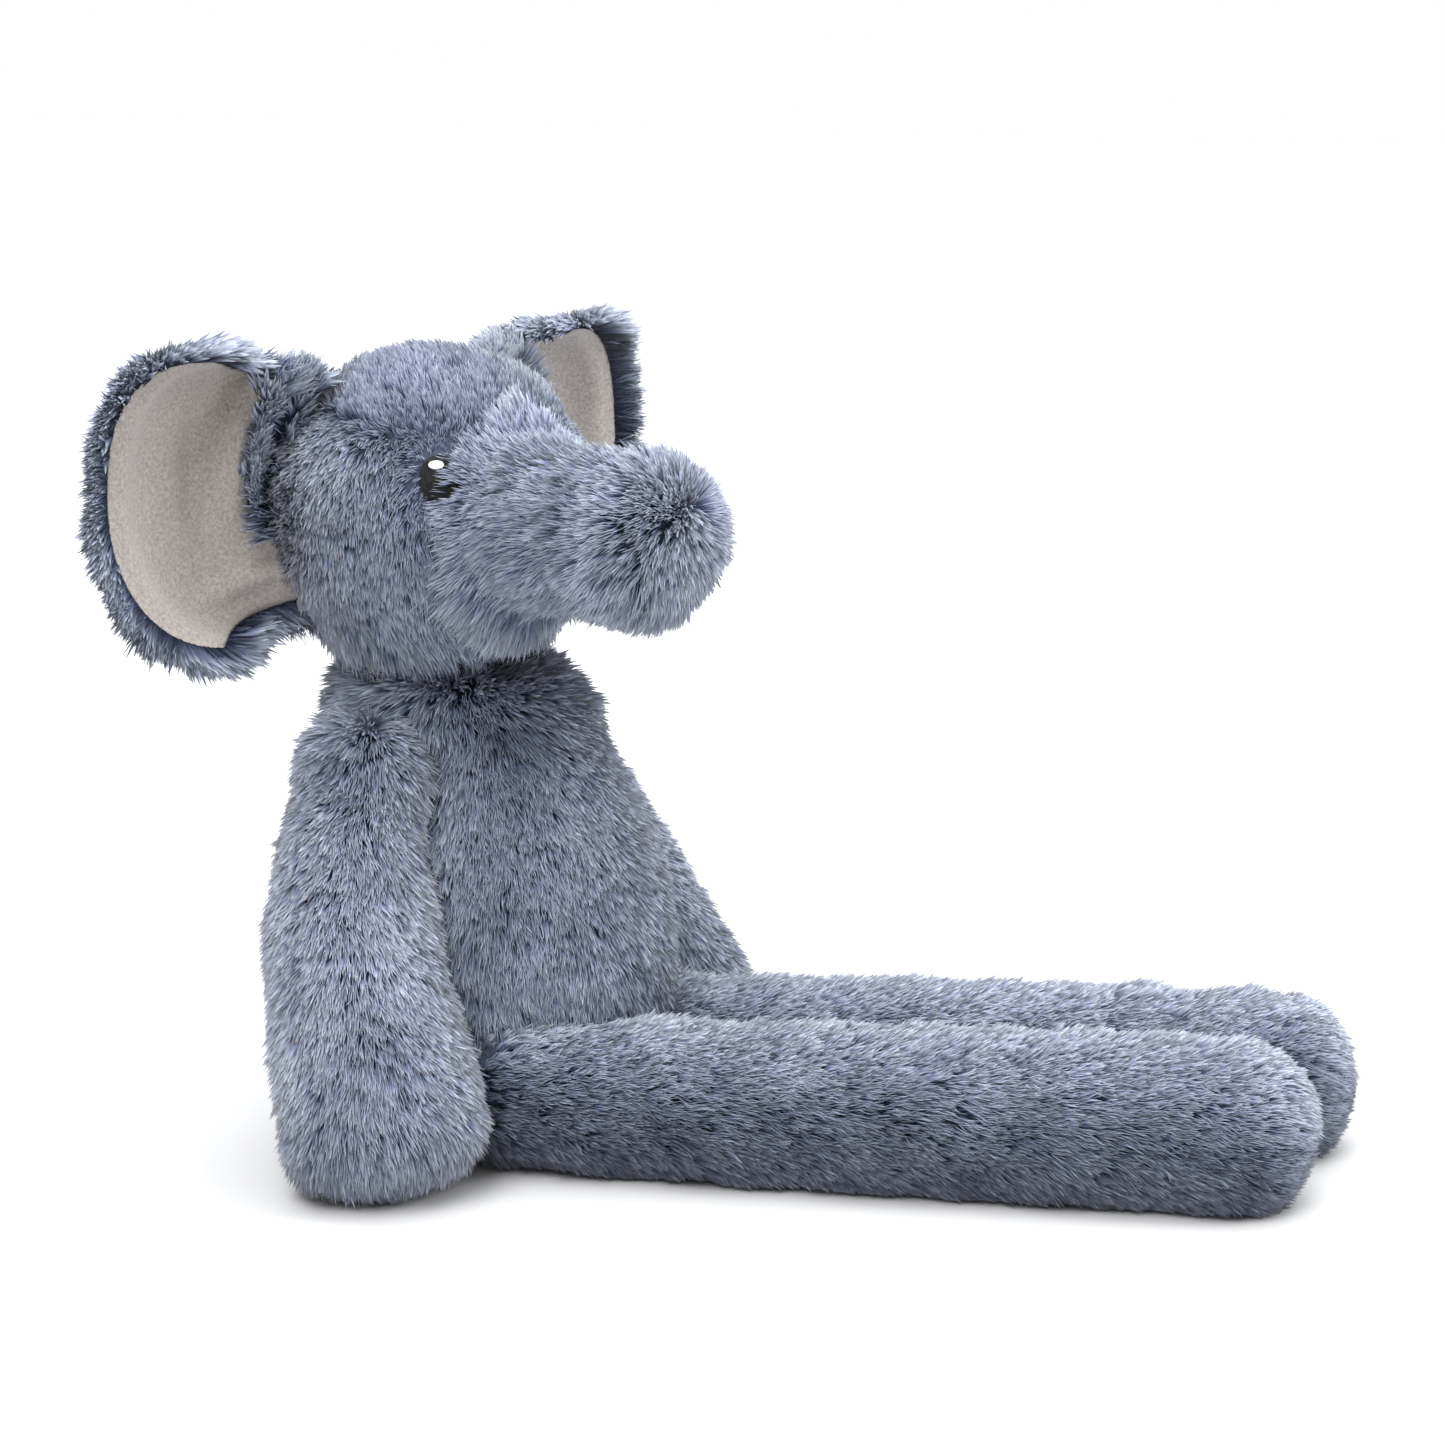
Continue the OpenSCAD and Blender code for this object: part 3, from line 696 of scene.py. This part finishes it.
def make_ear(side, name, seed):
    """An ear: furry back, velour front, and fur on the fold beside the head."""
    u, v = np.meshgrid(np.linspace(0, 1, EAR_ROWS), np.linspace(-1, 1, EAR_COLS), indexing="ij")
    edge = np.minimum(1, (1 - u) * 9) * np.minimum(1, (1 - np.abs(v)) * 12 + 0.15)
    plump = np.sqrt(np.clip(edge, 0, 1))
    folds = ear_folds(u, v) * np.clip(edge, 0, 1)
    front = ear_point(side, u, v, -1.5 * plump - folds)
    back = ear_point(side, u, v, 2.0 * plump - 0.75 * folds)
    out = unit(ear_point(side, u + 0.02, v, 0) - ear_point(side, u, v, 0))
    sideways = unit(ear_point(side, u, np.clip(v + 0.02, -1, 1), 0) - ear_point(side, u, v - 0.02, 0))
    turn = ramp(np.abs(v), 0.7, 1)[..., None]
    flow = unit(out * (1 - turn) + sideways * np.sign(v)[..., None] * turn).reshape(-1, 3)
    points = np.concatenate([front.reshape(-1, 3), back.reshape(-1, 3)])
    skin = Skin(points, leaf_faces(EAR_ROWS, EAR_COLS), np.zeros((0, 3), int), np.concatenate([flow, flow]))
    skin.moved(from_head)
    leaf = skin_object(name + "_ear_plush", skin, velour)
    leaf.data.materials.append(painted_shade_backing)
    u, v = np.tile(u.reshape(-1), 2), np.tile(v.reshape(-1), 2)
    on_front = np.repeat([1.0, 0.0], EAR_ROWS * EAR_COLS)
    fold = (0.40 if side > 0 else 0.19) * ramp(v, -0.6, 0.1) + 0.08 * ramp(v, 0.4, 0.9)
    furry_front = on_front * (1 - ramp(u - fold, -0.02, 0.02))
    rim = np.maximum(ramp(u, 0.90, 0.97), ramp(np.abs(v), 0.90, 0.97))
    furry = (1 - on_front) * (1 + 2.0 * rim) + furry_front
    corner = np.stack([furry[skin.quads[:, k]] for k in range(4)]).mean(axis=0)
    leaf.data.polygons.foreach_set("material_index", (corner > 0.5).astype(np.int32))
    skin.lean = 56 + 16 * rim * (1 - on_front) - 6 * on_front
    skin.length = 0.85 + 0.65 * rim * (1 - on_front) + 0.6 * on_front
    # Painted light: lighter fur on the front fold, where light from above falls in, and on the rim's
    # fringe.
    skin.tone = 0.3 * on_front + 0.1 * rim
    facing = from_head([0, -1, 0.4]) - from_head([0, 0, 0])
    skin.shade = unit(skin.normals + facing * (1.1 * rim + 0.2)[:, None])
    skin.flow = unit(skin.flow + np.array([0, 0, 0.9]) * (on_front * ramp(v, -0.6, 0.3))[:, None])
    coat = fur(name + "_ear_fur", skin, seed, plush, keep=furry, floor=False, droop=0.1, length=7.2)
    for piece in (leaf, coat):
        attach(piece, name + "_ear")
    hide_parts(name + "_ear_back", name + "_ear_lining")


make_ear(1, "left", 400)
make_ear(-1, "right", 420)

# ---- Eyes ----


def eye_patch(name, side, size, rise, shift, lift, height, material, node, threads):
    """A raised oval of satin stitch, whose threads run up and down.

    rise and shift move it up and across from the eye's centre; lift is how high its edge stands off the
    head, and height how much higher its middle stands.
    """
    out, across, up = eye_frame(side)
    cols, rows = threads * 6 + 1, 30
    x, y = np.meshgrid(np.linspace(-1, 1, cols), np.linspace(-1, 1, rows), indexing="ij")
    px = x * np.sqrt(1 - y**2 / 2) * size[0] / 2 + shift
    pz = y * np.sqrt(1 - x**2 / 2) * size[1] / 2 + rise
    away = unit(out * HEAD_RADIUS + px[..., None] * across + pz[..., None] * up)
    edge = np.clip((1 - np.maximum(np.abs(x), np.abs(y))) * 5, 0, 1)
    thread = np.abs(np.sin(np.pi * (x + 1) / 2 * threads))
    top = lift + height * np.sqrt(edge) * (0.82 + 0.18 * thread) + 0.05 * wander(away * 38, 31, 2.5)
    front = away * (HEAD_RADIUS + top)[..., None]
    back = away * (HEAD_RADIUS + lift - 0.4)
    points = np.concatenate([front.reshape(-1, 3), back.reshape(-1, 3)])
    skin = Skin(points, leaf_faces(cols, rows), np.zeros((0, 3), int), np.zeros_like(points))
    obj = skin_object(name, skin.moved(from_head), material)
    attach(obj, "head")
    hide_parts(node)


for side, name in ((1, "left"), (-1, "right")):
    eye_patch(
        name + "_eye",
        side,
        size=EYE_SIZE,
        rise=0,
        shift=0,
        lift=0.2,
        height=1.3,
        material=eye_black,
        node=name + "_eye_patch",
        threads=30,
    )
    eye_patch(
        name + "_eye_glint",
        side,
        size=(3.8, 2.2),
        rise=3.2,
        shift=1.0,
        lift=1.35,
        height=0.45,
        material=eye_white,
        node=name + "_eye_highlight",
        threads=11,
    )

# ---- Arms ----

ARM_TABLE = [
    [0, 33.5, 13, 109, 12],
    [13, 37, 13, 95.5, 12],
    [33, 47, 9.5, 78, 14.6],
    [54, 56, 3, 57, 17],
    [76, 62.5, -5, 36, 19],
    [92, 66, -11, 20.5, 20],
    [107, 69, -17, 7, 20],
]


def make_arm(side, name, seed):
    """An arm from shoulder to hand, with a seam down its outer and inner side."""
    skin = limb(ARM_TABLE, (12, 11), 44, [1, 0, 0], side)
    s = skin.station
    seam = np.exp(-(((np.degrees(skin.angle) % 180 - 90) / 5) ** 2))
    outward = unit(skin.points - np.array([side * 30, 8, 150]))
    top = (1 - ramp(s, 4, 26))[:, None]
    skin.flow = unit(skin.flow + [0, 0, -0.35] + outward * top * 0.6)
    skin.points = skin.points - skin.normals * (0.5 * seam)[:, None]
    skin.length = 1.0 - 0.3 * seam + 0.1 * (1 - ramp(s, 4, 22)) + 0.1 * ramp(s, 92, 104)
    skin.lean = 50 - 6 * ramp(s, 90, 104)
    inner = ramp(-skin.normals[:, 0] * side, 0.1, 0.6)
    # Painted light along the middle of the arm and painted shade on its inner side, facing the torso.
    skin.tone = -0.15 * seam + 0.5 * ramp(s, 20, 50) * (1 - ramp(s, 70, 95)) - 0.8 * inner
    arm = skin_object(name + "_arm_plush", skin, painted_shade_backing)
    coat = fur(name + "_arm_fur", skin, seed, plush, length=7.8, droop=0.1)
    for piece in (arm, coat):
        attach(piece, name + "_arm")
    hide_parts(*(f"{name}_arm_{part}" for part in ("front_panel", "back_panel", "stuffing")))


make_arm(1, "left", 500)
make_arm(-1, "right", 520)

# ---- Legs ----

LEG_TURN = math.radians(18.5)
HIPS = {"left": np.array([30.5, -40.0, 17.5]), "right": np.array([-17.5, -49.0, 17.5])}
LEG_TABLE = [
    [-42, 0, 42, 0.5, 14.0],
    [-24, 0, 24, 0.3, 15.4],
    [0, 0, 0, 0, 16.2],
    [40, 0, -40, -0.1, 17.0],
    [85, 0, -85, 0.5, 17.8],
    [139, 0, -139, 0.7, 18.0],
    [169, 0, -169, 0.2, 17.4],
]


def make_leg(name, seed):
    """A leg lying on the floor, from inside the torso to the foot, with a seam along each side."""
    hip = HIPS[name]
    skin = limb(LEG_TABLE, (12, 12), 56, [0, 0, 1])
    s = skin.station
    half_turn = np.degrees(skin.angle) % 180
    seam = np.exp(-((half_turn / 5) ** 2)) + np.exp(-(((half_turn - 180) / 5) ** 2))
    skin.points = skin.points - skin.normals * (0.5 * seam)[:, None]
    skin.crowd = 0.25 + 0.75 * ramp(s, -38, -20)
    skin.length = 1.0 - 0.15 * ramp(s, 150, 166) - 0.25 * seam
    skin.lean = 56 - 8 * ramp(s, 150, 166)
    up = skin.normals[:, 2]
    # Painted light on the leg's upper side and painted shade on its underside, by which way the skin faces.
    skin.tone = -0.1 * seam + 0.5 * ramp(up, 0.3, 0.9) - 0.55 * ramp(-up, -0.5, 0.5)
    skin.tone += 0.4 * ramp(s, 152, 166)
    skin.moved(lambda p: turned(np.asarray(p, float), LEG_TURN, hip))
    skin.points[:, 2] = np.maximum(skin.points[:, 2], 0.2)
    skin.crowd = skin.crowd * (0.3 + 0.7 * ramp(skin.points[:, 2], 0.3, 4))
    leg = skin_object(name + "_leg_plush", skin, painted_shade_backing)
    thigh = 1 - ramp(s, 62, 64)
    coats = [
        fur(name + "_leg_fur_upper", skin, seed, plush, keep=thigh),
        fur(name + "_leg_fur_lower", skin, seed + 10, plush, keep=1 - thigh),
    ]
    for piece in [leg] + coats:
        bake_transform(piece)
    nodes = [f"{name}_leg_{part}" for part in ("inner_panel", "outer_panel", "stuffing")]
    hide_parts(*nodes, name + "_foot_bean_bag")


make_leg("left", 600)
make_leg("right", 640)

# ---- Tail ----

TAIL_TABLE = [
    [0, 6, 46, 33, 3.4],
    [12, 10.5, 50.5, 21.5, 3.4],
    [24, 18, 51.5, 12, 3.4],
    [34, 27, 50, 7.6, 3.4],
    [44, 36.5, 47, 5.6, 3.6],
    [52, 44.5, 44, 6.3, 5.2],
    [60, 51.5, 41, 4.9, 3.6],
]
tail_surface = limb(TAIL_TABLE, (3, 3.5), 26, [0, 1, 0])
tail_surface.length = 0.45 + 0.7 * ramp(tail_surface.station, 38, 48)
tail_surface.lean = 60 - 12 * ramp(tail_surface.station, 38, 48)
tail_surface.points[:, 2] = np.maximum(tail_surface.points[:, 2], 0.6)
tail = skin_object("tail_plush", tail_surface, painted_shade_backing)
tail_fur = fur("tail_fur", tail_surface, 700, plush, clumps=1.1, spread=0.5)
for piece in (tail, tail_fur):
    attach(piece, "tail")
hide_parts("tail_tube", "tail_tuft")

# ---- Stitches at the neck ----

stitches = bpy.data.objects["neck_seam_stitches"]
stitches.data.materials.clear()
stitches.data.materials.append(seam_thread)

# ---- Floor, light and camera ----


FLOOR_HALF, FLOOR_LEVEL = 6000.0, -0.2


def make_floor():
    mat, _, _, shader = material_nodes("floor_white", 0.9)
    shader.inputs["Base Color"].default_value = (0.64, 0.64, 0.64, 1)
    shader.inputs["Specular IOR Level"].default_value = 0.0
    corners = [(-1, -1), (1, -1), (1, 1), (-1, 1)]
    points = np.array([[x * FLOOR_HALF, y * FLOOR_HALF, FLOOR_LEVEL] for x, y in corners])
    floor = mesh_object("studio_floor", points, [np.array([[0, 1, 2, 3]])], mat)


make_floor()

SKY_LOW, SKY_HIGH = 0.25, 0.9  # strength of its light just below the horizon and straight above


def make_world():
    """White behind the object; light that comes mostly from above."""
    world = bpy.data.worlds.new("studio")
    world.use_nodes = True
    nodes, links = world.node_tree.nodes, world.node_tree.links
    where = nodes.new("ShaderNodeTexCoord")
    split = nodes.new("ShaderNodeSeparateXYZ")
    links.new(where.outputs["Generated"], split.inputs[0])
    level = nodes.new("ShaderNodeMapRange")
    level.inputs["From Min"].default_value = -0.2
    level.inputs["From Max"].default_value = 1.0
    level.inputs["To Min"].default_value = SKY_LOW
    level.inputs["To Max"].default_value = SKY_HIGH
    links.new(split.outputs["Z"], level.inputs["Value"])
    seen = nodes.new("ShaderNodeLightPath")
    choose = nodes.new("ShaderNodeMix")
    links.new(seen.outputs["Is Camera Ray"], choose.inputs[0])
    links.new(level.outputs["Result"], choose.inputs[2])
    choose.inputs[3].default_value = 1.0
    links.new(choose.outputs[0], nodes["Background"].inputs["Strength"])
    nodes["Background"].inputs["Color"].default_value = (1, 1, 1, 1)
    bpy.context.scene.world = world


make_world()
bpy.context.scene.view_settings.view_transform = "Standard"

TARGET = np.array([8.3, -64.5, 110.0])  # where the lamps and the camera look
LAMP_DISTANCE, CAMERA_DISTANCE = 1500, 1000


def direction(azimuth, elevation):
    """Towards an azimuth, where 0 is in front, and an elevation, both in radians."""
    return np.array(
        [
            math.sin(azimuth) * math.cos(elevation),
            -math.cos(azimuth) * math.cos(elevation),
            math.sin(elevation),
        ]
    )


def aimed(obj, place, target):
    """Put obj into the scene at place, looking at target."""
    obj.location = Vector(tuple(place * MM))
    obj.rotation_euler = (Vector(tuple(target * MM)) - obj.location).to_track_quat("-Z", "Y").to_euler()
    bpy.context.scene.collection.objects.link(obj)


def sun_light(name, azimuth, elevation, softness, strength, colour=(1, 1, 1)):
    """Parallel light from an azimuth and an elevation, in degrees."""
    lamp = bpy.data.lights.new(name, "SUN")
    lamp.angle = math.radians(softness)
    lamp.energy = strength
    lamp.color = colour
    away = direction(math.radians(azimuth), math.radians(elevation))
    aimed(bpy.data.objects.new(name, lamp), TARGET + LAMP_DISTANCE * away, TARGET)


sun_light("top_light", 100, 78, 70, 2.8, (0.97, 0.98, 1.0))
sun_light("side_light", -78, 52, 35, 2.0)
sun_light("front_light", 25, 30, 30, 1.3)

AZIMUTH, ELEVATION = math.radians(-60), math.radians(10.5)
lens = bpy.data.cameras.new("camera")
lens.lens = 100
lens.sensor_width = 36
lens.clip_end = 50
camera = bpy.data.objects.new("camera", lens)
aimed(camera, TARGET + CAMERA_DISTANCE * direction(AZIMUTH, ELEVATION), TARGET)
bpy.context.scene.camera = camera
